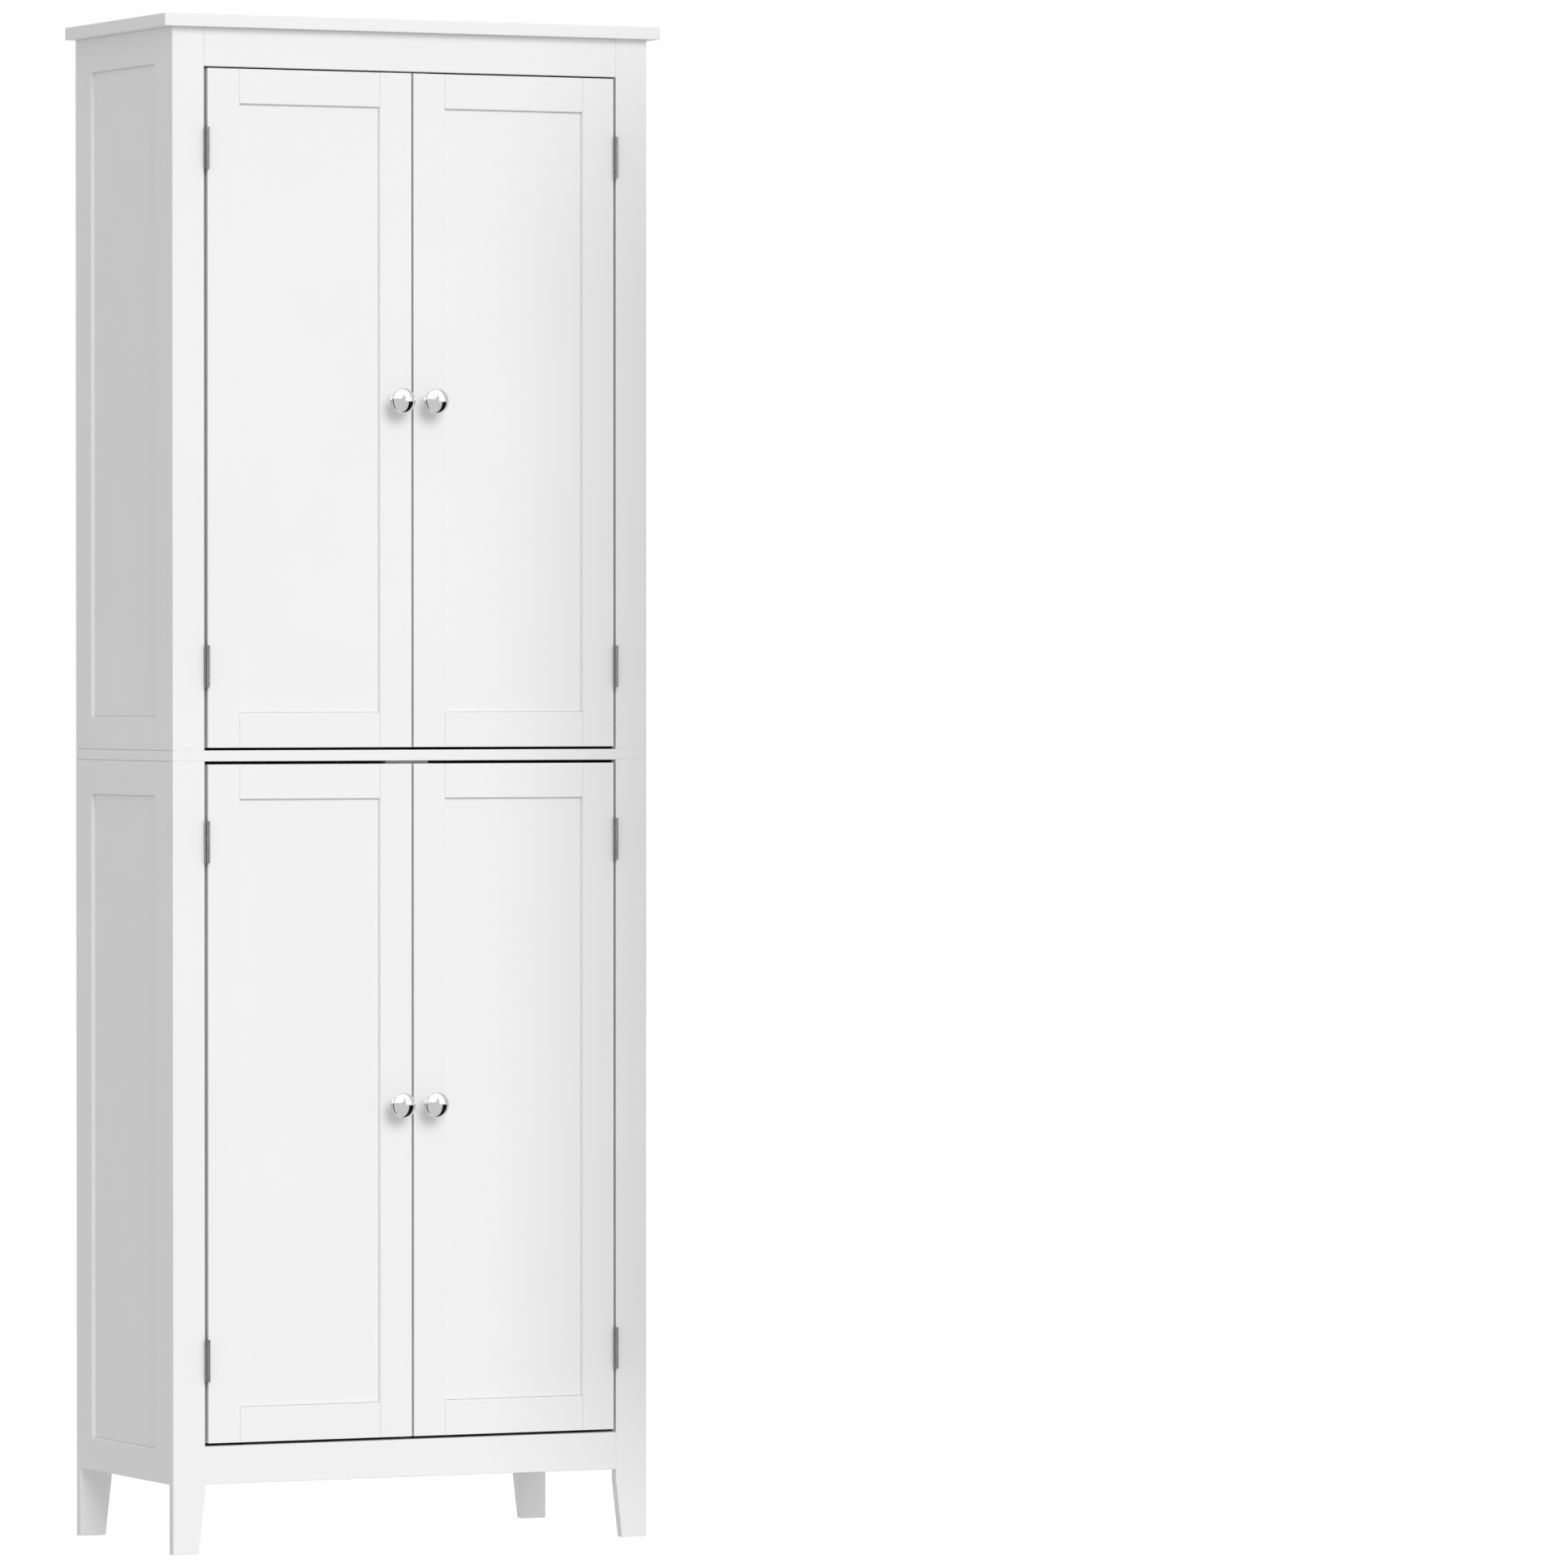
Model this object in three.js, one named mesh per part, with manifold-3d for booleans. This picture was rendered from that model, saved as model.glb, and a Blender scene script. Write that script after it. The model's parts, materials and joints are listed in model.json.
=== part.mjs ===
// Pantry cabinet in painted board: two stacked modules on tapered legs, each with a pair of
// frame-and-panel doors, loose shelves, a sheet back and a magnetic catch.
// Units are millimetres. X runs left to right, Y runs front to back, Z is up.

import * as THREE from "three";
import { mergeVertices } from "three/addons/utils/BufferGeometryUtils.js";
import Module from "manifold-3d";

const wasm = await Module();
wasm.setup();

// ---- Driving dimensions -------------------------------------------------------------------

// Overall
const HEIGHT = 1700;
const BODY_WIDTH = 575;
const BODY_DEPTH = 290;
const BOARD = 12; // thickness of every carcass board
const TOP_THICK = 14;
const TOP_SIDE_OVERHANG = 12.5;
const TOP_FRONT_OVERHANG = 10;

// Heights of the two modules
const SIDE_BOTTOM = 77; // the sides and the bottom rail stop here, the legs go on to the floor
const LOWER_FLOOR = 119; // top of the bottom rail and of the bottom board
const MID_BOTTOM = 876;
const MID_TOP = MID_BOTTOM + BOARD;
const TOP_RAIL_BOTTOM = 1643;
const TOP_BOTTOM = HEIGHT - TOP_THICK;

// Front and rear uprights
const STILE = 38; // width of a stile or rail, where no other is given
const LEG_FOOT = 30.5; // width of a leg at the floor
const LEG_TAPER_TOP = 65;

// Frame-and-panel boards
const RECESS = 4; // depth of the panel below the face of its frame
const BEVEL = 1; // width of the small chamfer on the inner edge of a frame
const TONGUE = 7; // how far a panel reaches into the groove of its frame
const TONGUE_THICK = 5;
const SIDE_FRONT_STILE = 40.5;
const SIDE_REAR_STILE = 35;
const SIDE_BOTTOM_RAIL = 36;

// Doors
const DOOR_THICK = 15;
const DOOR_HEIGHT = 750;
const DOOR_PROUD = 1.5; // how far a closed door stands in front of the face frame
const DOOR_HINGE_GAP = 3.5;
const DOOR_CENTRE_GAP = 2.5;
const UPPER_DOOR_BOTTOM = 891;
const LOWER_DOOR_BOTTOM = 122.5;

// Hinges
const HINGE_INSETS = { // from the centre of a hinge to the nearer end of its door
  upper: { low: 90, high: 88.5 },
  lower: { low: 91.5, high: 85.5 },
};
const KNUCKLES = 6;
const KNUCKLE_HEIGHT = 7.4375;
const KNUCKLE_GAP = 0.375;
const KNUCKLE_RADIUS = 2.75;
const PIN_RADIUS = 1.2;
const PIN_BORE_RADIUS = 1.3;
const AXIS_FORWARD = 4; // hinge axis in front of the face frame
const LEAF = 1.25; // thickness of a hinge leaf
const LEAF_START = 3; // from the hinge axis to the flat of a leaf
const FRAME_LEAF_DEPTH = 12.5;
const WRAP_WIDTH = 16; // flange of the door leaf on the inner face of the door
const WRAP_CORNER = 3;

// Knobs
const KNOB_RADIUS = 14.25;
const KNOB_STEM_RADIUS = 4.5;
const KNOB_FOOT_RADIUS = 6.75;
const KNOB_FOOT_HEIGHT = 1.5;
const KNOB_PROJECTION = 27;
const KNOB_DOME_RISE = 5.5; // from the widest part of the head to its front
const KNOB_UNDERCUT = 5.5; // from the widest part of the head back to the top of the stem
const KNOB_INSET = 19; // centre of a knob to the free edge of its door
const UPPER_KNOB_HEIGHT = 1276;
const LOWER_KNOB_HEIGHT = 492.5;

// Magnetic catches
const CATCH_FRONT = 15;
const CATCH_PLATE_WIDTH = 52;
const CATCH_PLATE_THICK = 5;
const CATCH_BODY_WIDTH = 36;
const CATCH_BODY_HEIGHT = 17;
const CATCH_DEPTH = 18;
const CLEAT_WIDTH = 80;

// Shelves and back
const SHELF_BOTTOMS = { upper: [1142.25, 1414.5], lower: [357, 609.25] };
const SHELF_FRONT = 22;
const SHELF_DEPTH = 250;
const SHEET = 3; // thickness of the back sheets
const STRIP_WIDTH = 18.5; // joining strip between the two back sheets
const STRIP_BULGE = 2.5;
const STRIP_REAR = 1;
const STRIP_WEB = 1;

// Cutters reach this far past the faces that they open.
const CUT_MARGIN = 1;

// ---- Worked-out places --------------------------------------------------------------------

const BODY_X = BODY_WIDTH / 2;
const SIDE_INNER_X = BODY_X - BOARD;
const OPENING_X = BODY_X - STILE;
const REAR_BOARD_Y = BODY_DEPTH - BOARD;
const SHEET_Y = REAR_BOARD_Y - SHEET;
const DOOR_EDGE_X = OPENING_X - DOOR_HINGE_GAP;
const DOOR_WIDTH = DOOR_EDGE_X - DOOR_CENTRE_GAP / 2;
const DOOR_BACK_Y = DOOR_THICK - DOOR_PROUD;
const AXIS_X = OPENING_X - DOOR_HINGE_GAP / 2;
const AXIS_Y = -AXIS_FORWARD;
const HINGE_HEIGHT = KNUCKLES * KNUCKLE_HEIGHT + (KNUCKLES - 1) * KNUCKLE_GAP;
const FRONT_Y = -DOOR_PROUD - KNOB_PROJECTION;

// ---- Materials ----------------------------------------------------------------------------

const FINISHES = {
  white_board: { color: 0xf1f1ef, roughness: 0.5, metalness: 0 },
  back_sheet: { color: 0xe6e6e3, roughness: 0.65, metalness: 0 },
  hinge_steel: { color: 0x8c8e90, roughness: 0.35, metalness: 1 },
  knob_chrome: { color: 0xd9dbdd, roughness: 0.12, metalness: 1 },
  catch_plastic: { color: 0xf4f4f2, roughness: 0.4, metalness: 0 },
};

// ---- Solid helpers ------------------------------------------------------------------------

// Exact quarter turn that stands a shape's own Y axis upright.
const Y_TO_Z = new THREE.Matrix4().makeBasis(
  new THREE.Vector3(1, 0, 0),
  new THREE.Vector3(0, 0, 1),
  new THREE.Vector3(0, -1, 0),
);

// Exact half turn that points a shape's own Y axis to the front of the cabinet.
const Y_TO_FRONT = new THREE.Matrix4().makeBasis(
  new THREE.Vector3(1, 0, 0),
  new THREE.Vector3(0, -1, 0),
  new THREE.Vector3(0, 0, -1),
);

function toSolid(geometry) {
  const bare = geometry.index ? geometry.toNonIndexed() : geometry.clone();
  bare.deleteAttribute("normal");
  bare.deleteAttribute("uv");
  const merged = mergeVertices(bare, 1e-5);
  return new wasm.Manifold(new wasm.Mesh({
    numProp: 3,
    vertProperties: Float32Array.from(merged.attributes.position.array),
    triVerts: Uint32Array.from(merged.index.array),
  }));
}

function toGeometry(solid) {
  const mesh = solid.getMesh();
  const geometry = new THREE.BufferGeometry();
  geometry.setAttribute("position", new THREE.BufferAttribute(mesh.vertProperties, 3));
  geometry.setIndex(new THREE.BufferAttribute(mesh.triVerts, 1));
  geometry.computeVertexNormals();
  return geometry;
}

// A box between two corners, each given as [x, y, z] in any order.
function boxGeometry(a, b) {
  const size = a.map((value, i) => Math.abs(b[i] - value));
  const middle = a.map((value, i) => (value + b[i]) / 2);
  return new THREE.BoxGeometry(...size).translate(...middle);
}

function boxSolid(a, b) {
  return toSolid(boxGeometry(a, b));
}

// An outline drawn in X and Z, given thickness along Y.
function plateGeometry(outline, yFront, yBack) {
  const geometry = new THREE.ExtrudeGeometry(outline, {
    depth: yBack - yFront,
    bevelEnabled: false,
    curveSegments: 6,
  });
  return geometry.applyMatrix4(Y_TO_Z).translate(0, yBack, 0);
}

// An upright cylinder on the axis x, y between two heights.
function postSolid(radius, x, y, bottom, top) {
  const geometry = new THREE.CylinderGeometry(radius, radius, top - bottom, 16);
  return toSolid(geometry.applyMatrix4(Y_TO_Z).translate(x, y, (bottom + top) / 2));
}

// A tapering block: a rectangle at y0 and a smaller or larger one at y1, in X and Z.
function taperedSolid([x0, x1, z0, z1], y0, [u0, u1, w0, w1], y1) {
  const corners = [
    [x0, y0, z0], [x1, y0, z0], [x1, y0, z1], [x0, y0, z1],
    [u0, y1, w0], [u1, y1, w0], [u1, y1, w1], [u0, y1, w1],
  ];
  const quads = [[0, 1, 2, 3], [7, 6, 5, 4], [4, 5, 1, 0], [5, 6, 2, 1], [6, 7, 3, 2], [7, 4, 0, 3]];
  const facingOut = y1 > y0 ? quads : quads.map((quad) => [...quad].reverse());
  return new wasm.Manifold(new wasm.Mesh({
    numProp: 3,
    vertProperties: Float32Array.from(corners.flat()),
    triVerts: Uint32Array.from(facingOut.flatMap(([a, b, c, d]) => [a, b, c, a, c, d])),
  }));
}

// ---- Assembly helpers ---------------------------------------------------------------------

const cabinet = new THREE.Group();
const assembly = new THREE.Group();
cabinet.add(assembly);

function addPiece(name, geometry, finish, place = [0, 0, 0]) {
  const mesh = new THREE.Mesh(geometry, new THREE.MeshStandardMaterial(FINISHES[finish]));
  mesh.name = name;
  mesh.position.set(...place);
  assembly.add(mesh);
}

const SIDES = [["left", -1], ["right", 1]];

// ---- Frame and panel ----------------------------------------------------------------------

// A frame lies in X and Z with its show face at yFace and its body behind it. Its window is
// bevelled on the show face, and on the back too when twoFaced is set.
function frameSolid([x0, x1, z0, z1], [w0, w1, v0, v1], yFace, yBack, twoFaced) {
  const window = [w0, w1, v0, v1];
  const inner = [w0 + BEVEL, w1 - BEVEL, v0 + BEVEL, v1 - BEVEL];
  const tongueMid = panelMiddle(yFace, yBack, twoFaced);
  const groove = TONGUE_THICK / 2;
  let frame = boxSolid([x0, yFace, z0], [x1, yBack, z1])
    .subtract(boxSolid(
      [inner[0], yFace - CUT_MARGIN, inner[2]],
      [inner[1], yBack + CUT_MARGIN, inner[3]],
    ))
    .subtract(taperedSolid(window, yFace, inner, yFace + RECESS))
    .subtract(boxSolid(
      [inner[0] - TONGUE, tongueMid - groove, inner[2] - TONGUE],
      [inner[1] + TONGUE, tongueMid + groove, inner[3] + TONGUE],
    ));
  if (twoFaced) frame = frame.subtract(taperedSolid(inner, yBack - RECESS, window, yBack));
  return frame;
}

function panelMiddle(yFace, yBack, twoFaced) {
  return (yFace + RECESS + (twoFaced ? yBack - RECESS : yBack)) / 2;
}

// The panel of the same frame, with a thinner tongue all round that sits in the groove.
function panelSolid([w0, w1, v0, v1], yFace, yBack, twoFaced) {
  const inner = [w0 + BEVEL, w1 - BEVEL, v0 + BEVEL, v1 - BEVEL];
  const tongueMid = panelMiddle(yFace, yBack, twoFaced);
  const groove = TONGUE_THICK / 2;
  const back = twoFaced ? yBack - RECESS : yBack;
  return boxSolid([inner[0], yFace + RECESS, inner[2]], [inner[1], back, inner[3]])
    .add(boxSolid(
      [inner[0] - TONGUE, tongueMid - groove, inner[2] - TONGUE],
      [inner[1] + TONGUE, tongueMid + groove, inner[3] + TONGUE],
    ));
}

// ---- Carcass ------------------------------------------------------------------------------

function addBoards() {
  addPiece("top_board", boxGeometry(
    [-BODY_X - TOP_SIDE_OVERHANG, -TOP_FRONT_OVERHANG, TOP_BOTTOM],
    [BODY_X + TOP_SIDE_OVERHANG, BODY_DEPTH, HEIGHT],
  ), "white_board");
  addPiece("mid_board", boxGeometry(
    [-BODY_X, 0, MID_BOTTOM],
    [BODY_X, BODY_DEPTH, MID_TOP],
  ), "white_board");
  addPiece("bottom_board", boxGeometry(
    [-SIDE_INNER_X, BOARD, LOWER_FLOOR - BOARD],
    [SIDE_INNER_X, SHEET_Y, LOWER_FLOOR],
  ), "white_board");
  addPiece("top_rail", boxGeometry(
    [-OPENING_X, 0, TOP_RAIL_BOTTOM],
    [OPENING_X, BOARD, TOP_BOTTOM],
  ), "white_board");
  addPiece("bottom_rail", boxGeometry(
    [-OPENING_X, 0, SIDE_BOTTOM],
    [OPENING_X, BOARD, LOWER_FLOOR],
  ), "white_board");
}

// A lower upright runs on below the side as a leg whose inner edge tapers in.
function legGeometry(side, yFront) {
  const outline = new THREE.Shape([
    [BODY_X, 0],
    [BODY_X - LEG_FOOT, 0],
    [OPENING_X, LEG_TAPER_TOP],
    [OPENING_X, MID_BOTTOM],
    [BODY_X, MID_BOTTOM],
  ].map(([x, z]) => new THREE.Vector2(side * x, z)));
  return plateGeometry(outline, yFront, yFront + BOARD);
}

function addUprights() {
  for (const [name, side] of SIDES) {
    for (const [place, y] of [["front", 0], ["rear", REAR_BOARD_Y]]) {
      addPiece(`upper_${place}_stile_${name}`, boxGeometry(
        [side * OPENING_X, y, MID_TOP],
        [side * BODY_X, y + BOARD, TOP_BOTTOM],
      ), "white_board");
      addPiece(`lower_${place}_leg_${name}`, legGeometry(side, y), "white_board");
    }
  }
}

// Side frames are drawn lying in X and Z, then turned so that their show face is outside.
function turnToSide(solid, side) {
  const turned = new THREE.Matrix4().makeBasis(
    new THREE.Vector3(0, side, 0),
    new THREE.Vector3(-side, 0, 0),
    new THREE.Vector3(0, 0, 1),
  );
  return toGeometry(solid).applyMatrix4(turned).translate(side * BODY_X, 0, 0);
}

function addSides() {
  const spans = { upper: [MID_TOP, TOP_BOTTOM], lower: [SIDE_BOTTOM, MID_BOTTOM] };
  for (const [level, [bottom, top]] of Object.entries(spans)) {
    for (const [name, side] of SIDES) {
      const order = (a, b) => (side > 0 ? [a, b] : [-b, -a]);
      const edge = [...order(BOARD, REAR_BOARD_Y), bottom, top];
      const window = [
        ...order(BOARD + SIDE_FRONT_STILE, REAR_BOARD_Y - SIDE_REAR_STILE),
        bottom + SIDE_BOTTOM_RAIL,
        top - STILE,
      ];
      const frame = frameSolid(edge, window, 0, BOARD, false);
      const panel = panelSolid(window, 0, BOARD, false);
      addPiece(`${level}_side_frame_${name}`, turnToSide(frame, side), "white_board");
      addPiece(`${level}_side_panel_${name}`, turnToSide(panel, side), "white_board");
    }
  }
}

function addShelves() {
  for (const [level, bottoms] of Object.entries(SHELF_BOTTOMS)) {
    bottoms.forEach((bottom, i) => {
      addPiece(`${level}_shelf_${i + 1}`, boxGeometry(
        [-SIDE_INNER_X, SHELF_FRONT, bottom],
        [SIDE_INNER_X, SHELF_FRONT + SHELF_DEPTH, bottom + BOARD],
      ), "white_board");
    });
  }
}

// The joining strip has a rounded front, a flat back flange and a web between the two sheets.
function stripSolid(bottom, top) {
  const half = STRIP_WIDTH / 2;
  const profile = new THREE.Shape();
  const curve = (half ** 2 + STRIP_BULGE ** 2) / (2 * STRIP_BULGE);
  const spread = Math.asin(half / curve);
  const arcY = SHEET_Y - STRIP_BULGE + curve;
  profile.absarc(0, arcY, curve, -Math.PI / 2 - spread, -Math.PI / 2 + spread);
  const dome = new THREE.ExtrudeGeometry(profile, {
    depth: top - bottom,
    bevelEnabled: false,
    curveSegments: 6,
  }).translate(0, 0, bottom);
  return toSolid(dome)
    .add(boxSolid([-STRIP_WEB / 2, SHEET_Y - CUT_MARGIN, bottom], [STRIP_WEB / 2, REAR_BOARD_Y, top]))
    .add(boxSolid([-half, REAR_BOARD_Y, bottom], [half, REAR_BOARD_Y + STRIP_REAR, top]));
}

// Each module has a left and a right back sheet. The strip stands on the module's floor, is
// fixed to the edge of the right sheet, and the left one slides into it.
function addBacks() {
  const spans = {
    upper: [MID_TOP, MID_TOP, TOP_BOTTOM],
    lower: [LOWER_FLOOR - BOARD, LOWER_FLOOR, MID_BOTTOM],
  };
  for (const [level, [bottom, stripBottom, top]] of Object.entries(spans)) {
    addPiece(`${level}_back_sheet_left`, boxGeometry(
      [-SIDE_INNER_X, SHEET_Y, bottom],
      [-STRIP_WEB / 2, REAR_BOARD_Y, top],
    ), "back_sheet");
    const right = boxSolid([0, SHEET_Y, bottom], [SIDE_INNER_X, REAR_BOARD_Y, top]);
    const joined = right.add(stripSolid(stripBottom, top));
    addPiece(`${level}_back_sheet_right`, toGeometry(joined), "back_sheet");
  }
}

// A catch hangs from its mounting plate. The upper one needs a cleat behind the top rail,
// and the lower one is screwed to the underside of the middle board.
function addCatches() {
  addPiece("catch_cleat", boxGeometry(
    [-CLEAT_WIDTH / 2, BOARD, TOP_RAIL_BOTTOM],
    [CLEAT_WIDTH / 2, BOARD + CATCH_DEPTH + BOARD, TOP_BOTTOM],
  ), "white_board");
  for (const [level, top] of [["upper", TOP_RAIL_BOTTOM], ["lower", MID_BOTTOM]]) {
    const back = CATCH_FRONT + CATCH_DEPTH;
    const plate = boxSolid(
      [-CATCH_PLATE_WIDTH / 2, CATCH_FRONT, top - CATCH_PLATE_THICK],
      [CATCH_PLATE_WIDTH / 2, back, top],
    );
    const body = boxSolid(
      [-CATCH_BODY_WIDTH / 2, CATCH_FRONT, top - CATCH_BODY_HEIGHT],
      [CATCH_BODY_WIDTH / 2, back, top],
    );
    addPiece(`${level}_magnetic_catch`, toGeometry(plate.add(body)), "catch_plastic");
  }
}

// ---- Doors --------------------------------------------------------------------------------

// A mushroom knob: a round foot and a stem under a wide head with a domed front.
function knobGeometry() {
  const rim = KNOB_PROJECTION - KNOB_DOME_RISE;
  const profile = [
    [0, 0],
    [KNOB_FOOT_RADIUS, 0],
    [KNOB_FOOT_RADIUS, KNOB_FOOT_HEIGHT],
    [KNOB_STEM_RADIUS, KNOB_FOOT_HEIGHT + KNOB_FOOT_RADIUS - KNOB_STEM_RADIUS],
    [KNOB_STEM_RADIUS, rim - KNOB_UNDERCUT],
    [KNOB_RADIUS - 1.5, rim - 2],
  ];
  const domeSteps = 6;
  for (let i = 0; i <= domeSteps; i += 1) {
    const turn = (i / domeSteps) * (Math.PI / 2);
    const radius = i < domeSteps ? KNOB_RADIUS * Math.cos(turn) : 0;
    profile.push([radius, rim + KNOB_DOME_RISE * Math.sin(turn)]);
  }
  const lathe = new THREE.LatheGeometry(profile.map(([r, h]) => new THREE.Vector2(r, h)), 20);
  return lathe.applyMatrix4(Y_TO_FRONT);
}

function addDoors() {
  const levels = [
    ["upper", UPPER_DOOR_BOTTOM, UPPER_KNOB_HEIGHT],
    ["lower", LOWER_DOOR_BOTTOM, LOWER_KNOB_HEIGHT],
  ];
  for (const [level, bottom, knobHeight] of levels) {
    for (const [name, side] of SIDES) {
      const x = [side * DOOR_EDGE_X, side * (DOOR_EDGE_X - DOOR_WIDTH)].sort((a, b) => a - b);
      const edge = [...x, bottom, bottom + DOOR_HEIGHT];
      const window = [x[0] + STILE, x[1] - STILE, bottom + STILE, bottom + DOOR_HEIGHT - STILE];
      const frame = frameSolid(edge, window, -DOOR_PROUD, DOOR_BACK_Y, true);
      const panel = panelSolid(window, -DOOR_PROUD, DOOR_BACK_Y, true);
      addPiece(`${level}_door_frame_${name}`, toGeometry(frame), "white_board");
      addPiece(`${level}_door_panel_${name}`, toGeometry(panel), "white_board");
      const knobX = side * (DOOR_EDGE_X - DOOR_WIDTH + KNOB_INSET);
      addPiece(
        `${level}_knob_${name}`,
        knobGeometry(),
        "knob_chrome",
        [knobX, -DOOR_PROUD, knobHeight],
      );
      addHinges(level, name, side, bottom);
    }
  }
}

// ---- Hinges -------------------------------------------------------------------------------

// The knuckles are numbered from the bottom. The frame leaf owns the even ones and the pin,
// the door leaf owns the odd ones.
function knuckleSpans(bottom, owner) {
  const pitch = KNUCKLE_HEIGHT + KNUCKLE_GAP;
  return Array.from({ length: KNUCKLES }, (_, i) => i)
    .filter((i) => i % 2 === owner)
    .map((i) => [bottom + i * pitch, bottom + i * pitch + KNUCKLE_HEIGHT]);
}

// A leaf's flat, with a tongue from it to each of its knuckles.
function leafWithKnuckles(leaf, side, x, bottom, owner) {
  for (const [low, high] of knuckleSpans(bottom, owner)) {
    leaf = leaf
      .add(boxSolid([side * x, AXIS_Y, low], [side * (x + LEAF), AXIS_Y + LEAF_START, high]))
      .add(postSolid(KNUCKLE_RADIUS, side * AXIS_X, AXIS_Y, low, high));
  }
  return leaf;
}

function frameLeaf(side, bottom) {
  const top = bottom + HINGE_HEIGHT;
  const x = OPENING_X - LEAF;
  const flat = boxSolid(
    [side * x, AXIS_Y + LEAF_START, bottom],
    [side * OPENING_X, AXIS_Y + LEAF_START + FRAME_LEAF_DEPTH, top],
  );
  return leafWithKnuckles(flat, side, x, bottom, 0)
    .add(postSolid(PIN_RADIUS, side * AXIS_X, AXIS_Y, bottom, top));
}

// The door leaf lies on the door's edge and wraps onto its inner face.
function doorLeaf(side, bottom) {
  const top = bottom + HINGE_HEIGHT;
  const x = DOOR_EDGE_X;
  const flat = boxSolid(
    [side * x, AXIS_Y + LEAF_START, bottom],
    [side * (x + LEAF), DOOR_BACK_Y + LEAF, top],
  );
  const end = x - WRAP_WIDTH;
  const flange = new THREE.Shape();
  flange.moveTo(x + LEAF, bottom);
  flange.lineTo(x + LEAF, top);
  flange.absarc(end + WRAP_CORNER, top - WRAP_CORNER, WRAP_CORNER, Math.PI / 2, Math.PI, false);
  flange.absarc(end + WRAP_CORNER, bottom + WRAP_CORNER, WRAP_CORNER, Math.PI, 1.5 * Math.PI, false);
  let plate = toSolid(plateGeometry(flange, DOOR_BACK_Y, DOOR_BACK_Y + LEAF));
  if (side < 0) plate = plate.mirror([1, 0, 0]);
  return leafWithKnuckles(flat.add(plate), side, x, bottom, 1)
    .subtract(postSolid(
      PIN_BORE_RADIUS,
      side * AXIS_X,
      AXIS_Y,
      bottom - CUT_MARGIN,
      top + CUT_MARGIN,
    ));
}

function addHinges(level, name, side, doorBottom) {
  const { low, high } = HINGE_INSETS[level];
  const centres = { low: doorBottom + low, high: doorBottom + DOOR_HEIGHT - high };
  for (const [place, centre] of Object.entries(centres)) {
    const bottom = centre - HINGE_HEIGHT / 2;
    const hinge = `${level}_${place}_hinge_${name}`;
    addPiece(`${hinge}_frame_leaf`, toGeometry(frameLeaf(side, bottom)), "hinge_steel");
    addPiece(`${hinge}_door_leaf`, toGeometry(doorLeaf(side, bottom)), "hinge_steel");
  }
}

addBoards();
addUprights();
addSides();
addShelves();
addBacks();
addCatches();
addDoors();

// The origin is on the floor, under the middle of everything.
assembly.position.y = -(FRONT_Y + BODY_DEPTH) / 2;

export default cabinet;
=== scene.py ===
"""Looks of the pantry cabinet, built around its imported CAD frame. Metres, +Z up."""

import json
import math

import bmesh
import bpy
from mathutils import Matrix, Vector


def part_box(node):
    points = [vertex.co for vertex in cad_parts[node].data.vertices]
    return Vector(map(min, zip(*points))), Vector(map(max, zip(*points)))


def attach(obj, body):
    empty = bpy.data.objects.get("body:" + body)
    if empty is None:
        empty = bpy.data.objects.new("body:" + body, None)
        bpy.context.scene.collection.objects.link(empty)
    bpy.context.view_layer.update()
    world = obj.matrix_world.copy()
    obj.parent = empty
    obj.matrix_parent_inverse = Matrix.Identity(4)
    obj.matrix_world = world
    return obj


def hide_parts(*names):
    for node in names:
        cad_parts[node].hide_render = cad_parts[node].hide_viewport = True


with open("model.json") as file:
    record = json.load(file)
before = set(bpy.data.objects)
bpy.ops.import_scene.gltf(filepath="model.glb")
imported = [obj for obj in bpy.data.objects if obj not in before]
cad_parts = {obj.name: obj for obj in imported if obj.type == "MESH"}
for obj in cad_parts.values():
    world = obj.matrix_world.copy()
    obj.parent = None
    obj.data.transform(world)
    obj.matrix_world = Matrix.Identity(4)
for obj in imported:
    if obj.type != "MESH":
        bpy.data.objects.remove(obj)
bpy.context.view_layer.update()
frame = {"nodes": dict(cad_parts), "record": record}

MM = 0.001
LEVELS = ("upper", "lower")
SIDES = (("left", -1), ("right", 1))
X, Y, Z = Vector((1, 0, 0)), Vector((0, 1, 0)), Vector((0, 0, 1))

# ---- Camera -------------------------------------------------------------------------------

# The camera stands to the left of the cabinet, measured from the foot of its front left leg.
CAMERA_FROM_CORNER = Vector((-4.213, -10.388, 0.9848))
CAMERA_AIM = Vector((0.43085, 0.90243, -0.011933))
LENS = 233.1
SENSOR = 36
CLIP_END = 200

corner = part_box("lower_front_leg_left")[0]
camera = bpy.data.objects.new("camera", bpy.data.cameras.new("camera"))
camera.data.lens = LENS
camera.data.sensor_width = SENSOR
camera.data.clip_end = CLIP_END
camera.location = corner + CAMERA_FROM_CORNER
camera.rotation_mode = "QUATERNION"
camera.rotation_quaternion = CAMERA_AIM.to_track_quat("-Z", "Y")
bpy.context.scene.collection.objects.link(camera)
bpy.context.scene.camera = camera

# ---- Materials ----------------------------------------------------------------------------

NOISE_RANGE = (0.3, 0.7)  # where nearly all values of a noise lie
COLOUR_PATCH = 0.22
GLOSS_PATCH = 0.035
GLOSS_SPREAD = 0.05
METAL_GLOSS_SPREAD = 0.2


class Nodes:
    """A short way to write a node tree."""

    def __init__(self, tree):
        self.tree = tree

    def add(self, kind, settings=None, **inputs):
        node = self.tree.nodes.new(kind)
        for name, value in (settings or {}).items():
            setattr(node, name, value)
        for name, value in inputs.items():
            self.set(node, name.replace("_", " "), value)
        return node

    def set(self, node, name, value):
        socket = node.inputs[name]
        if isinstance(value, bpy.types.NodeSocket):
            self.tree.links.new(value, socket)
        else:
            socket.default_value = value


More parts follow.
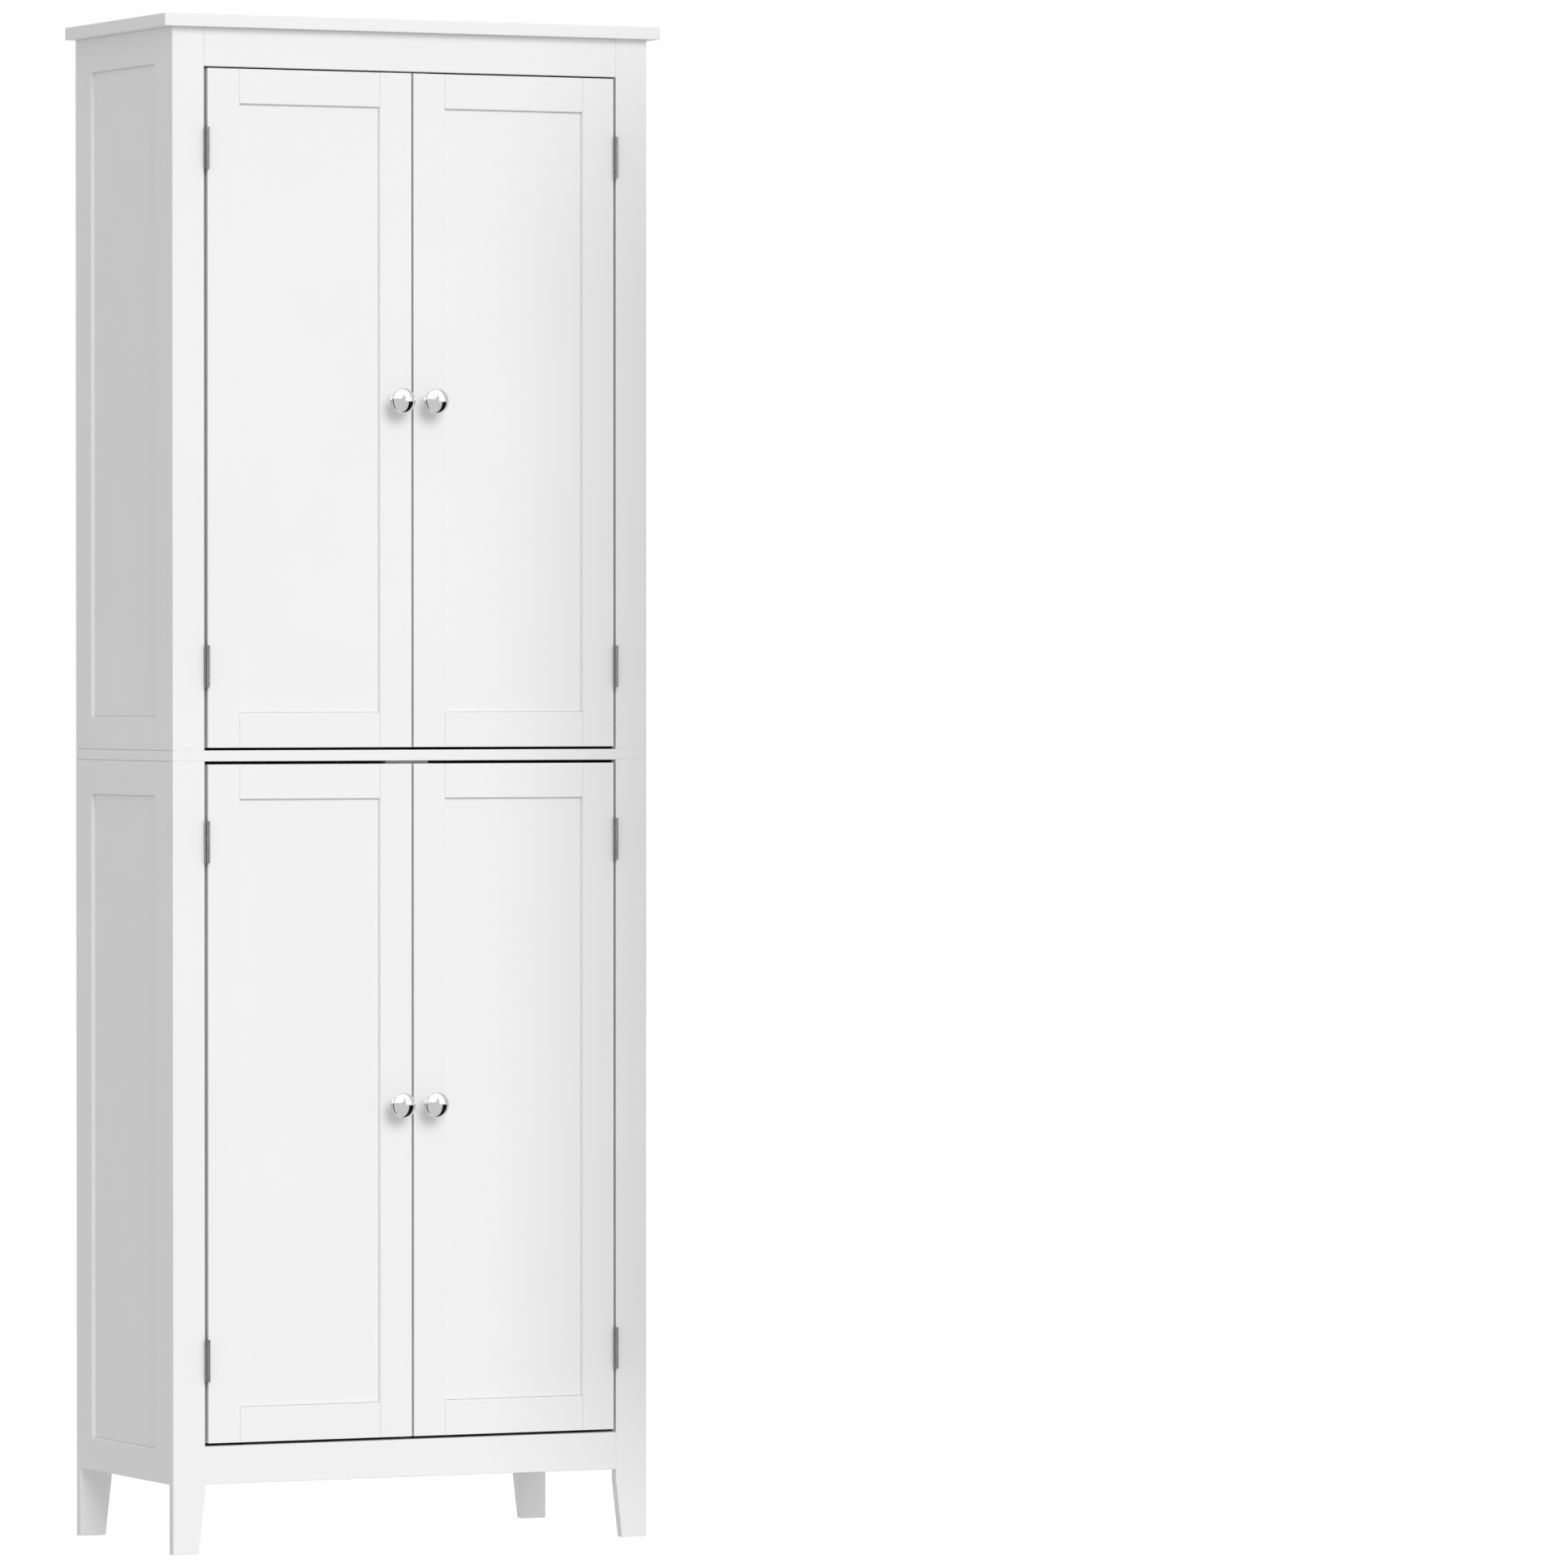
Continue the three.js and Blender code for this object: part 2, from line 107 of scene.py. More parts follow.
def new_material(name):
    material = bpy.data.materials.new(name)
    material.use_nodes = True
    nodes = Nodes(material.node_tree)
    shader = material.node_tree.nodes["Principled BSDF"]
    place = nodes.add("ShaderNodeTexCoord").outputs["Object"]
    return material, nodes, shader, place


def noise(nodes, place, size, detail=2.0, stretch=None):
    """Noise with features about `size` metres across, drawn out along an axis by stretch."""
    if stretch:
        mapping = nodes.add("ShaderNodeMapping", Vector=place)
        mapping.inputs["Scale"].default_value = stretch
        place = mapping.outputs["Vector"]
    made = nodes.add("ShaderNodeTexNoise", Vector=place, Scale=1 / size, Detail=detail)
    return made.outputs["Fac"]


def spread(nodes, factor, low, high):
    """A number that runs from low to high as a noise does."""
    made = nodes.add("ShaderNodeMapRange", Value=factor)
    made.inputs["From Min"].default_value, made.inputs["From Max"].default_value = NOISE_RANGE
    made.inputs["To Min"].default_value, made.inputs["To Max"].default_value = low, high
    return made.outputs["Result"]


def tint(nodes, factor, low, high):
    """A colour that runs from low to high with a factor."""
    made = nodes.add("ShaderNodeMix", {"data_type": "RGBA"})
    nodes.tree.links.new(factor, made.inputs[0])
    made.inputs[6].default_value = (*low, 1)
    made.inputs[7].default_value = (*high, 1)
    return made.outputs[2]


def bump(nodes, shader, height, depth):
    """Fine relief of the surface, depth metres deep."""
    made = nodes.add("ShaderNodeBump", Height=height, Strength=1.0, Distance=depth)
    nodes.tree.links.new(made.outputs["Normal"], shader.inputs["Normal"])


def coated(name, low, high, roughness, grain, grain_depth, specular=0.5):
    """Paint, foil or plastic: faint unevenness of colour and gloss over a fine surface grain."""
    material, nodes, shader, place = new_material(name)
    patches = noise(nodes, place, COLOUR_PATCH)
    nodes.set(shader, "Base Color", tint(nodes, spread(nodes, patches, 0, 1), low, high))
    gloss = noise(nodes, place, GLOSS_PATCH, detail=4)
    low, high = roughness - GLOSS_SPREAD, roughness + GLOSS_SPREAD
    nodes.set(shader, "Roughness", spread(nodes, gloss, low, high))
    shader.inputs["Specular IOR Level"].default_value = specular
    bump(nodes, shader, noise(nodes, place, grain, detail=3), grain_depth)
    return material


def metal(name, low, high, roughness, streak, depth, size=0.0015):
    """Plated steel with fine streaks drawn out along Z, or an even surface where streak is 1."""
    material, nodes, shader, place = new_material(name)
    lines = noise(nodes, place, size, detail=4, stretch=(1, 1, 1 / streak))
    nodes.set(shader, "Base Color", tint(nodes, spread(nodes, lines, 0, 1), low, high))
    low, high = roughness * (1 - METAL_GLOSS_SPREAD), roughness * (1 + METAL_GLOSS_SPREAD)
    nodes.set(shader, "Roughness", spread(nodes, lines, low, high))
    shader.inputs["Metallic"].default_value = 1.0
    bump(nodes, shader, lines, depth)
    return material


def grey(value, warm=0.0):
    """A grey with a little less green and blue where warm is above 0."""
    return (value, value * (1 - warm / 2), value * (1 - warm))


PAINT = coated("satin_white_paint", grey(0.850, 0.004), grey(0.865, 0.004), 0.48, 0.0012, 4e-6)
SHEET = coated("white_hardboard", grey(0.800, 0.004), grey(0.825, 0.004), 0.62, 0.0009, 8e-6, 0.35)
STRIP = coated("white_strip_plastic", grey(0.83), grey(0.845), 0.38, 0.0007, 2e-6)
PLASTIC = coated("white_catch_plastic", grey(0.84), grey(0.86), 0.36, 0.0006, 4e-6)
STEEL = metal("satin_nickel_plate", grey(0.30), grey(0.38), 0.20, 6, 3e-6)
SCREW_STEEL = metal("zinc_screw_steel", grey(0.42), grey(0.52), 0.28, 1, 3e-6, 0.0008)
POLE_STEEL = metal("pole_plate_steel", grey(0.30), grey(0.42), 0.22, 1, 3e-6, 0.001)
CHROME = metal("polished_chrome", grey(0.78), grey(0.82), 0.05, 1, 4e-7, 0.004)

SLOT_MATERIALS = {
    "white_board": PAINT,
    "back_sheet": SHEET,
    "hinge_steel": STEEL,
    "knob_chrome": CHROME,
    "catch_plastic": PLASTIC,
}

# ---- Mesh helpers -------------------------------------------------------------------------

SHARP_EDGE = math.radians(30)
SMOOTH_BARREL = math.radians(32)
SMOOTH_STRIP = math.radians(20)
SMOOTH_SCREW = math.radians(50)
SMOOTH_TURNED = math.radians(40)


def add_bevel(piece, width, segments=2):
    """Rounds the sharp edges of a piece."""
    made = piece.modifiers.new("rounded_edges", "BEVEL")
    made.width = width
    made.segments = segments
    made.limit_method = "ANGLE"
    made.angle_limit = SHARP_EDGE
    made.use_clamp_overlap = True


def finish_piece(name, bm, material, body, rounded=0.0, smooth_angle=None):
    """Turns a bmesh into a piece that rides on a body."""
    bmesh.ops.recalc_face_normals(bm, faces=bm.faces)
    if smooth_angle:
        for face in bm.faces:
            face.smooth = True
        for edge in bm.edges:
            edge.smooth = len(edge.link_faces) == 2 and edge.calc_face_angle() < smooth_angle
    mesh = bpy.data.meshes.new(name)
    bm.to_mesh(mesh)
    bm.free()
    mesh.materials.append(material)
    piece = bpy.data.objects.new(name, mesh)
    bpy.context.scene.collection.objects.link(piece)
    if rounded:
        add_bevel(piece, rounded)
    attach(piece, body)
    return piece


def add_faces(bm, points, faces):
    """Adds polygons that name their corners by key, out of a dict of points."""
    verts = {key: bm.verts.new(point) for key, point in points.items()}
    for face in faces:
        bm.faces.new([verts[key] for key in face])


def lathe(bm, profile, place, axis, segments):
    """A turned shape: profile holds (radius, height) pairs along the axis from place."""
    turn = axis.to_track_quat("Z", "Y").to_matrix()
    rings = []
    for radius, height in profile:
        if radius == 0:
            rings.append([bm.verts.new(place + axis * height)])
            continue
        ring = []
        for i in range(segments):
            angle = 2 * math.pi * i / segments
            flat = Vector((math.cos(angle), math.sin(angle), 0)) * radius
            ring.append(bm.verts.new(place + turn @ flat + axis * height))
        rings.append(ring)
    for low, high in zip(rings, rings[1:]):
        for i in range(segments):
            j = (i + 1) % segments
            corners = [
                low[i % len(low)], low[j % len(low)], high[j % len(high)], high[i % len(high)],
            ]
            bm.faces.new(list(dict.fromkeys(corners)))


def extrude(bm, outline, depth):
    """A closed prism on an outline of points, drawn out by the vector depth."""
    near = [bm.verts.new(p) for p in outline]
    far = [bm.verts.new(p + depth) for p in outline]
    bm.faces.new(near)
    bm.faces.new(list(reversed(far)))
    for i in range(len(outline)):
        j = (i + 1) % len(outline)
        bm.faces.new([near[i], near[j], far[j], far[i]])


def arc(centre, u, v, radius, start, stop, steps):
    """Points on a circle, from angle start to stop in degrees, in the plane of u and v."""
    points = []
    for i in range(steps + 1):
        angle = math.radians(start + (stop - start) * i / steps)
        points.append(centre + u * radius * math.cos(angle) + v * radius * math.sin(angle))
    return points


def rounded_rectangle(centre, u, v, width, height, radius, steps=8):
    """The outline of a rectangle with round corners in the plane of u and v."""
    points = []
    for across, up, start in ((1, 1, 0), (-1, 1, 90), (-1, -1, 180), (1, -1, 270)):
        place = centre + u * across * (width / 2 - radius) + v * up * (height / 2 - radius)
        points += arc(place, u, v, radius, start, start + 90, steps)
    return points


# ---- CAD nodes that stay ------------------------------------------------------------------

BOARD_ROUNDING = 0.8 * MM
KNUCKLE_ROUNDING = 0.25 * MM
WELD = 0.01 * MM


def cleaning_group(name, smooth_angle):
    """Geometry nodes that weld a CAD mesh, drop its stored normals and set its shading."""
    group = bpy.data.node_groups.new(name, "GeometryNodeTree")
    group.interface.new_socket("Geometry", in_out="INPUT", socket_type="NodeSocketGeometry")
    group.interface.new_socket("Geometry", in_out="OUTPUT", socket_type="NodeSocketGeometry")
    nodes = Nodes(group)
    start = nodes.add("NodeGroupInput").outputs["Geometry"]
    welded = nodes.add("GeometryNodeMergeByDistance", Geometry=start, Distance=WELD)
    bare = nodes.add("GeometryNodeRemoveAttribute", Geometry=welded.outputs["Geometry"])
    bare.inputs["Name"].default_value = "custom_normal"
    last = nodes.add(
        "GeometryNodeSetShadeSmooth", {"domain": "FACE"}, Geometry=bare.outputs["Geometry"]
    )
    last.inputs["Shade Smooth"].default_value = bool(smooth_angle)
    if smooth_angle:
        angle = nodes.add("GeometryNodeInputMeshEdgeAngle").outputs["Unsigned Angle"]
        below = nodes.add("ShaderNodeMath", {"operation": "LESS_THAN"})
        group.links.new(angle, below.inputs[0])
        below.inputs[1].default_value = smooth_angle
        last = nodes.add(
            "GeometryNodeSetShadeSmooth", {"domain": "EDGE"}, Geometry=last.outputs["Geometry"]
        )
        group.links.new(below.outputs[0], last.inputs["Shade Smooth"])
    end = nodes.add("NodeGroupOutput")
    group.links.new(last.outputs["Geometry"], end.inputs["Geometry"])
    return group


FLAT = cleaning_group("weld_flat", 0)
SMOOTH = cleaning_group("weld_smooth", SMOOTH_BARREL)


def dress_cad_nodes():
    """Gives every CAD node its material, and its rounded edges where it has any."""
    slots = {part["node"]: part["material_slot"] for part in frame["record"]["subparts"]}
    for name, node in frame["nodes"].items():
        node.data.materials.clear()
        node.data.materials.append(SLOT_MATERIALS[slots[name]])
        made = node.modifiers.new("clean", "NODES")
        made.node_group = SMOOTH if slots[name] == "hinge_steel" else FLAT
        if slots[name] in ("white_board", "catch_plastic"):
            add_bevel(node, BOARD_ROUNDING)
        elif slots[name] == "hinge_steel":
            add_bevel(node, KNUCKLE_ROUNDING, 1)


# ---- Frame-and-panel boards ---------------------------------------------------------------

STILE = 38 * MM
CHAMFER = 1 * MM
RECESS = 4 * MM
TONGUE = 7 * MM
TONGUE_THICK = 5 * MM
BAR_ROUNDING = 0.3 * MM
JOINT_GAP = 0.15 * MM  # hairline left where two boards meet


def bar_sections(width, thick, rear_recess):
    """The corner lines of a bar: each name with its place across and through the bar."""
    middle = (RECESS + thick - rear_recess) / 2
    near, far = middle - TONGUE_THICK / 2, middle + TONGUE_THICK / 2
    inner = width + CHAMFER
    return {
        "outer_front": (0, 0),
        "edge_front": (width, 0),
        "inner_front": (inner, RECESS),
        "lip_front": (inner, near),
        "floor_front": (inner - TONGUE, near),
        "floor_rear": (inner - TONGUE, far),
        "lip_rear": (inner, far),
        "inner_rear": (inner, thick - rear_recess),
        "edge_rear": (width, thick),
        "outer_rear": (0, thick),
        "mouth_front": (width, near),
        "mouth_rear": (width, far),
    }


LONG_FACES = (
    ("inner_front", "lip_front"),
    ("floor_front", "floor_rear"),
    ("lip_rear", "inner_rear"),
    ("edge_front", "inner_front"),
    ("inner_rear", "edge_rear"),
    ("outer_rear", "outer_front"),
)


def stile_mesh(width, thick, rear_recess, length, rails):
    """A bar that runs past the ends of the rails, with its chamfer mitred to theirs. rails
    holds the widths of the low and the high rail."""
    lines = bar_sections(width, thick, rear_recess)
    low, high = rails
    points, faces = {}, []

    def add_line(name, u, t, inset):
        points[name, 0], points[name, 1] = (u, t, low + inset), (u, t, length - high - inset)

    for name, (u, t) in lines.items():
        add_line(name, u, t, u - width)
    for name in ("mouth_front", "mouth_rear"):
        add_line("deep_" + name, *lines[name], CHAMFER - TONGUE)
    for name, source in (
        ("outer_front", "outer_front"),
        ("outer_rear", "outer_rear"),
        ("end_edge_front", "edge_front"),
        ("end_edge_rear", "edge_rear"),
    ):
        u, t = lines[source]
        points[name, 0], points[name, 1] = (u, t, 0), (u, t, length)
    for a, b in LONG_FACES:
        faces.append([(a, 0), (b, 0), (b, 1), (a, 1)])
    for face in ("front", "rear"):
        faces.append([
            (f"outer_{face}", 0), (f"end_edge_{face}", 0), (f"edge_{face}", 0),
            (f"edge_{face}", 1), (f"end_edge_{face}", 1), (f"outer_{face}", 1),
        ])
        faces.append([
            (f"floor_{face}", 0), (f"deep_mouth_{face}", 0), (f"mouth_{face}", 0),
            (f"lip_{face}", 0), (f"lip_{face}", 1), (f"mouth_{face}", 1),
            (f"deep_mouth_{face}", 1), (f"floor_{face}", 1),
        ])
    for end in (0, 1):
        for ring in (
            ["outer_front", "outer_rear", "end_edge_rear", "end_edge_front"],
            ["end_edge_front", "end_edge_rear", "edge_rear", "mouth_rear", "deep_mouth_rear",
             "deep_mouth_front", "mouth_front", "edge_front"],
            ["edge_front", "mouth_front", "lip_front", "inner_front"],
            ["mouth_rear", "edge_rear", "inner_rear", "lip_rear"],
            ["floor_front", "floor_rear", "deep_mouth_rear", "deep_mouth_front"],
        ):
            faces.append([(name, end) for name in ring])
    return points, faces


def rail_mesh(width, thick, rear_recess, length):
    """A bar between two stiles, with its groove open at both ends."""
    lines = bar_sections(width, thick, rear_recess)
    points, faces = {}, []
    for name, (u, t) in lines.items():
        s = max(0, u - width) + JOINT_GAP
        points[name, 0], points[name, 1] = (u, t, s), (u, t, length - s)
    for a, b in LONG_FACES + (("outer_front", "edge_front"), ("edge_rear", "outer_rear")):
        faces.append([(a, 0), (b, 0), (b, 1), (a, 1)])
    for face in ("front", "rear"):
        faces.append([
            (f"floor_{face}", 0), (f"mouth_{face}", 0), (f"lip_{face}", 0),
            (f"lip_{face}", 1), (f"mouth_{face}", 1), (f"floor_{face}", 1),
        ])
    for end in (0, 1):
        for ring in (
            ["outer_front", "edge_front", "mouth_front", "floor_front", "floor_rear",
             "mouth_rear", "edge_rear", "outer_rear"],
            ["edge_front", "inner_front", "lip_front", "mouth_front"],
            ["mouth_rear", "lip_rear", "inner_rear", "edge_rear"],
        ):
            faces.append([(name, end) for name in ring])
    return points, faces


def build_bar(name, shape, origin, across, through, along, body):
    """Places the points and faces of a bar by its three directions."""
    points, faces = shape
    bm = bmesh.new()
    placed = {
        key: origin + across * u + through * t + along * s for key, (u, t, s) in points.items()
    }
    add_faces(bm, placed, faces)
    return finish_piece(name, bm, PAINT, body, BAR_ROUNDING)


def build_frame(node, body, origin, across, through, spans, stiles, rails, rear_recess):
    """The two stiles and two rails of one frame. origin is the lowest corner of its show face,
    across runs to its other side, and spans holds its width, thickness and height."""
    width, thick, height = spans
    shape = (thick, rear_recess)
    first, second = stiles
    low, high = rails
    far = origin + across * width
    start = origin + across * first
    length = width - first - second
    bars = (
        ("stile_a", stile_mesh(first, *shape, height, rails), origin, across, Z),
        ("stile_b", stile_mesh(second, *shape, height, rails), far, -across, Z),
        ("rail_low", rail_mesh(low, *shape, length), start, Z, across),
        ("rail_high", rail_mesh(high, *shape, length), start + Z * height, -Z, across),
    )
    for i, (part, made, place, u, s) in enumerate(bars):
        piece = build_bar(f"{node}_{part}", made, place, u, through, s, body)
        if i == 0:
            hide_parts(node)


def build_frames():
    """The frames of the doors and of the side walls, each from four bars."""
    for level in LEVELS:
        for name, side in SIDES:
            node = f"{level}_door_frame_{name}"
            low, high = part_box(node)
            spans = (high.x - low.x, high.y - low.y, high.z - low.z)
            both = (STILE, STILE)
            build_frame(node, f"{level}_{name}_door", low, X, Y, spans, both, both, RECESS)

            node = f"{level}_side_frame_{name}"
            low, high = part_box(node)
            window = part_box(f"{level}_side_panel_{name}")
            reach = CHAMFER - TONGUE
            stiles = (window[0].y - low.y - reach, high.y - window[1].y - reach)
            rails = (window[0].z - low.z - reach, high.z - window[1].z - reach)
            rails = tuple(rail - JOINT_GAP for rail in rails)
            spans = (high.y - low.y, high.x - low.x, high.z - low.z - 2 * JOINT_GAP)
            origin = Vector((low.x if side < 0 else high.x, low.y, low.z + JOINT_GAP))
            build_frame(node, "carcass", origin, Y, X * -side, spans, stiles, rails, 0)


# ---- Backs --------------------------------------------------------------------------------

SHEET_ROUNDING = 0.2 * MM
STRIP_HALF = 9.25 * MM
STRIP_REAR = 1 * MM
STRIP_BULGE = 2.5 * MM
STRIP_WEB = 1 * MM
STRIP_STEPS = 16


def build_backs():
    """The right back sheet with the plastic strip that joins it to the left one."""
    for level in LEVELS:
        node = f"{level}_back_sheet_right"
        low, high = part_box(node)
        left_low, left_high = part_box(f"{level}_back_sheet_left")
        front, rear = left_low.y, left_high.y
        web = STRIP_WEB / 2
        bm = bmesh.new()
        outline = [
            Vector((web, front, low.z)),
            Vector((high.x, front, low.z)),
            Vector((high.x, rear, low.z)),
            Vector((web, rear, low.z)),
        ]
        extrude(bm, outline, Z * (high.z - low.z))
        sheet = finish_piece(
            f"{level}_right_sheet", bm, SHEET, "carcass", SHEET_ROUNDING
        )
        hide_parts(node)

        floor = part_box("bottom_board")[1].z if level == "lower" else low.z
        radius = (STRIP_HALF**2 + STRIP_BULGE**2) / (2 * STRIP_BULGE)
        half_turn = math.degrees(math.asin(STRIP_HALF / radius))
        centre = Vector((0, front - STRIP_BULGE + radius, floor))
        outline = arc(centre, X, Y, radius, -90 - half_turn, -90 + half_turn, STRIP_STEPS)
        outline += [
            Vector((web, front, floor)),
            Vector((web, rear, floor)),
            Vector((STRIP_HALF, rear, floor)),
            Vector((STRIP_HALF, rear + STRIP_REAR, floor)),
            Vector((-STRIP_HALF, rear + STRIP_REAR, floor)),
            Vector((-STRIP_HALF, rear, floor)),
            Vector((-web, rear, floor)),
            Vector((-web, front, floor)),
        ]
        bm = bmesh.new()
        extrude(bm, outline, Z * (high.z - floor))
        finish_piece(
            f"{level}_joining_strip", bm, STRIP, "carcass",
            smooth_angle=SMOOTH_STRIP,
        )


# ---- Screws and small hardware ------------------------------------------------------------

SCREW_SEGMENTS = 48
SCREW_RINGS = (0.13, 0.26, 0.38, 0.48, 0.56, 0.64, 0.74, 0.86, 0.95, 1.0)
SCREW_FOOT = 0.3 * MM
SCREW_DOME = 0.7  # exponent of the dome's fall towards its rim
CROSS_DEPTH = 0.42  # of the cross recess, as a share of the head's radius
CROSS_HALF = 0.15  # half the width of an arm of the cross, as the same share
CROSS_WALL = (0.6, 1.25)  # from the floor of an arm to its edge, in half widths
CROSS_END = (0.42, 0.62)
SCREW_TURNS = (0.7, 1.1)  # turn of the first head, and what each next one adds


def ease(value, start, stop):
    share = min(1, max(0, (value - start) / (stop - start)))
    return share * share * (3 - 2 * share)


def screw_head(bm, place, axis, radius, rise, turn):
    """A domed head with a cross recess, which starts a little behind place."""
    twist = axis.to_track_quat("Z", "Y").to_matrix() @ Matrix.Rotation(turn, 3, "Z")
    deep = CROSS_DEPTH * radius

    def height(share, angle):
        dome = rise * (1 - share**2) ** SCREW_DOME if share < 1 else 0
        off_arm = share * min(abs(math.sin(angle)), abs(math.cos(angle)))
        in_arm = 1 - ease(off_arm, *(wall * CROSS_HALF for wall in CROSS_WALL))
        return dome - deep * in_arm * (1 - ease(share, *CROSS_END))

    centre = bm.verts.new(place + twist @ Vector((0, 0, height(0, 0))))
    rings = []
    for share in SCREW_RINGS:
        ring = []
        for i in range(SCREW_SEGMENTS):
            angle = 2 * math.pi * (i + 0.5) / SCREW_SEGMENTS
            flat = Vector((math.cos(angle), math.sin(angle), 0)) * radius * share
            ring.append(bm.verts.new(place + twist @ (flat + Z * height(share, angle))))
        rings.append(ring)
    rings.append([bm.verts.new(v.co - axis * SCREW_FOOT) for v in rings[-1]])
    for i in range(SCREW_SEGMENTS):
        j = (i + 1) % SCREW_SEGMENTS
        bm.faces.new([centre, rings[0][i], rings[0][j]])
        for low, high in zip(rings, rings[1:]):
            bm.faces.new([low[i], high[i], high[j], low[j]])
    bm.faces.new(list(reversed(rings[-1])))


def add_screws(name, places, axis, radius, rise, body):
    """One piece with a screw head at each place, all facing along the axis."""
    first, step = SCREW_TURNS
    bm = bmesh.new()
    for i, place in enumerate(places):
        screw_head(bm, place, axis, radius, rise, first + step * i)
    finish_piece(name, bm, SCREW_STEEL, body, smooth_angle=SMOOTH_SCREW)


HINGE_SCREW_SPACING = 28.5 * MM
HINGE_SCREW_INSET = 7.7 * MM
HINGE_SCREW_RADIUS = 3.1 * MM
HINGE_SCREW_RISE = 0.7 * MM
LEAF_THICK = 1.25 * MM
FRAME_SCREW_DEPTH = 6.5 * MM
FRAME_SCREW_RADIUS = 2.4 * MM
FRAME_SCREW_RISE = 0.45 * MM


def build_hinge_screws():
    """Two screws in each leaf: behind the door, and on the inner edge of the front stile."""
    for level, upright in (("upper", "front_stile"), ("lower", "front_leg")):
        for name, side in SIDES:
            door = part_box(f"{level}_door_frame_{name}")
            edge = door[0].x if side < 0 else door[1].x
            for place in ("low", "high"):
                hinge = f"{level}_{place}_hinge_{name}"
                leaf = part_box(f"{hinge}_door_leaf")
                middle = (leaf[0].z + leaf[1].z) / 2
                heights = (middle - HINGE_SCREW_SPACING / 2, middle + HINGE_SCREW_SPACING / 2)
                spots = [Vector((edge - side * HINGE_SCREW_INSET, leaf[1].y, z)) for z in heights]
                add_screws(
                    f"{hinge}_door_screws", spots, Y, HINGE_SCREW_RADIUS, HINGE_SCREW_RISE,
                    f"{level}_{name}_door",
                )
                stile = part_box(f"{level}_{upright}_{name}")
                x = (stile[1].x if side < 0 else stile[0].x) - side * LEAF_THICK
                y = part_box(f"{hinge}_frame_leaf")[1].y - FRAME_SCREW_DEPTH
                spots = [Vector((x, y, z)) for z in heights]
                add_screws(
                    f"{hinge}_frame_screws", spots, X * -side, FRAME_SCREW_RADIUS,
                    FRAME_SCREW_RISE, "carcass",
                )


# ---- Knobs --------------------------------------------------------------------------------

KNOB_RADIUS = 14.25 * MM
KNOB_STEM_RADIUS = 4.5 * MM
KNOB_FOOT_RADIUS = 6.75 * MM
KNOB_FOOT_EDGE = 0.5 * MM
KNOB_FOOT_CHAMFER = 0.2 * MM
KNOB_FOOT_HEIGHT = 5 * MM
KNOB_DOME_RISE = 5.5 * MM
KNOB_UNDERCUT = 5.5 * MM
KNOB_UNDER_CURVE = 0.8  # below 1 the underside of the head is fuller
KNOB_RIM_ROUND = 1.0 * MM
KNOB_SEGMENTS = 96
KNOB_SCREW_RADIUS = 3.6 * MM
KNOB_SCREW_RISE = 1.2 * MM
FLARE_STEPS = 8
UNDER_STEPS = 8
RIM_STEPS = 6
DOME_STEPS = 20


def quarter(start, stop, steps):
    """Sine and cosine of angles up to a quarter turn, for step numbers from start to stop."""
    for i in range(start, stop):
        turn = math.pi / 2 * i / steps
        yield math.sin(turn), math.cos(turn)


def knob_profile(projection):
    """Radius and height of a mushroom knob from its foot to the middle of its dome."""
    rim = projection - KNOB_DOME_RISE
    neck = rim - KNOB_UNDERCUT
    flare = KNOB_FOOT_RADIUS - KNOB_STEM_RADIUS
    under = KNOB_RADIUS - KNOB_RIM_ROUND - KNOB_STEM_RADIUS
    profile = [(0, 0), (KNOB_FOOT_RADIUS - KNOB_FOOT_CHAMFER, 0)]
    profile.append((KNOB_FOOT_RADIUS, KNOB_FOOT_CHAMFER))
    for sine, cosine in quarter(0, FLARE_STEPS + 1, FLARE_STEPS):
        radius = KNOB_STEM_RADIUS + flare * (1 - sine)
        profile.append((radius, KNOB_FOOT_EDGE + KNOB_FOOT_HEIGHT * (1 - cosine)))
    profile.append((KNOB_STEM_RADIUS, neck))
    for sine, cosine in quarter(1, UNDER_STEPS + 1, UNDER_STEPS):
        height = neck + (rim - KNOB_RIM_ROUND - neck) * (1 - cosine) ** KNOB_UNDER_CURVE
        profile.append((KNOB_STEM_RADIUS + under * sine, height))
    for sine, cosine in quarter(1, RIM_STEPS, RIM_STEPS):
        profile.append((
            KNOB_RADIUS - KNOB_RIM_ROUND * (1 - sine),
            rim - KNOB_RIM_ROUND * cosine,
        ))
    for sine, cosine in quarter(0, DOME_STEPS, DOME_STEPS):
        profile.append((KNOB_RADIUS * cosine, rim + KNOB_DOME_RISE * sine))
    profile.append((0, projection))
    return profile


def build_knobs():
    """The four knobs, each with the head of its screw on the inner face of the door."""
    for level in LEVELS:
        for name, side in SIDES:
            node = f"{level}_knob_{name}"
            low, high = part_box(node)
            body = f"{level}_{name}_door"
            place = Vector(((low.x + high.x) / 2, high.y, (low.z + high.z) / 2))
            bm = bmesh.new()
            lathe(bm, knob_profile(high.y - low.y), place, -Y, KNOB_SEGMENTS)
            knob = finish_piece(
                f"{level}_turned_knob_{name}", bm, CHROME, body,
                smooth_angle=SMOOTH_TURNED,
            )
            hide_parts(node)
            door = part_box(f"{level}_door_frame_{name}")
            spot = Vector((place.x, door[1].y, place.z))
            add_screws(
                f"{level}_knob_screw_{name}", [spot], Y, KNOB_SCREW_RADIUS, KNOB_SCREW_RISE, body
            )


# ---- Strike plates and catches ------------------------------------------------------------

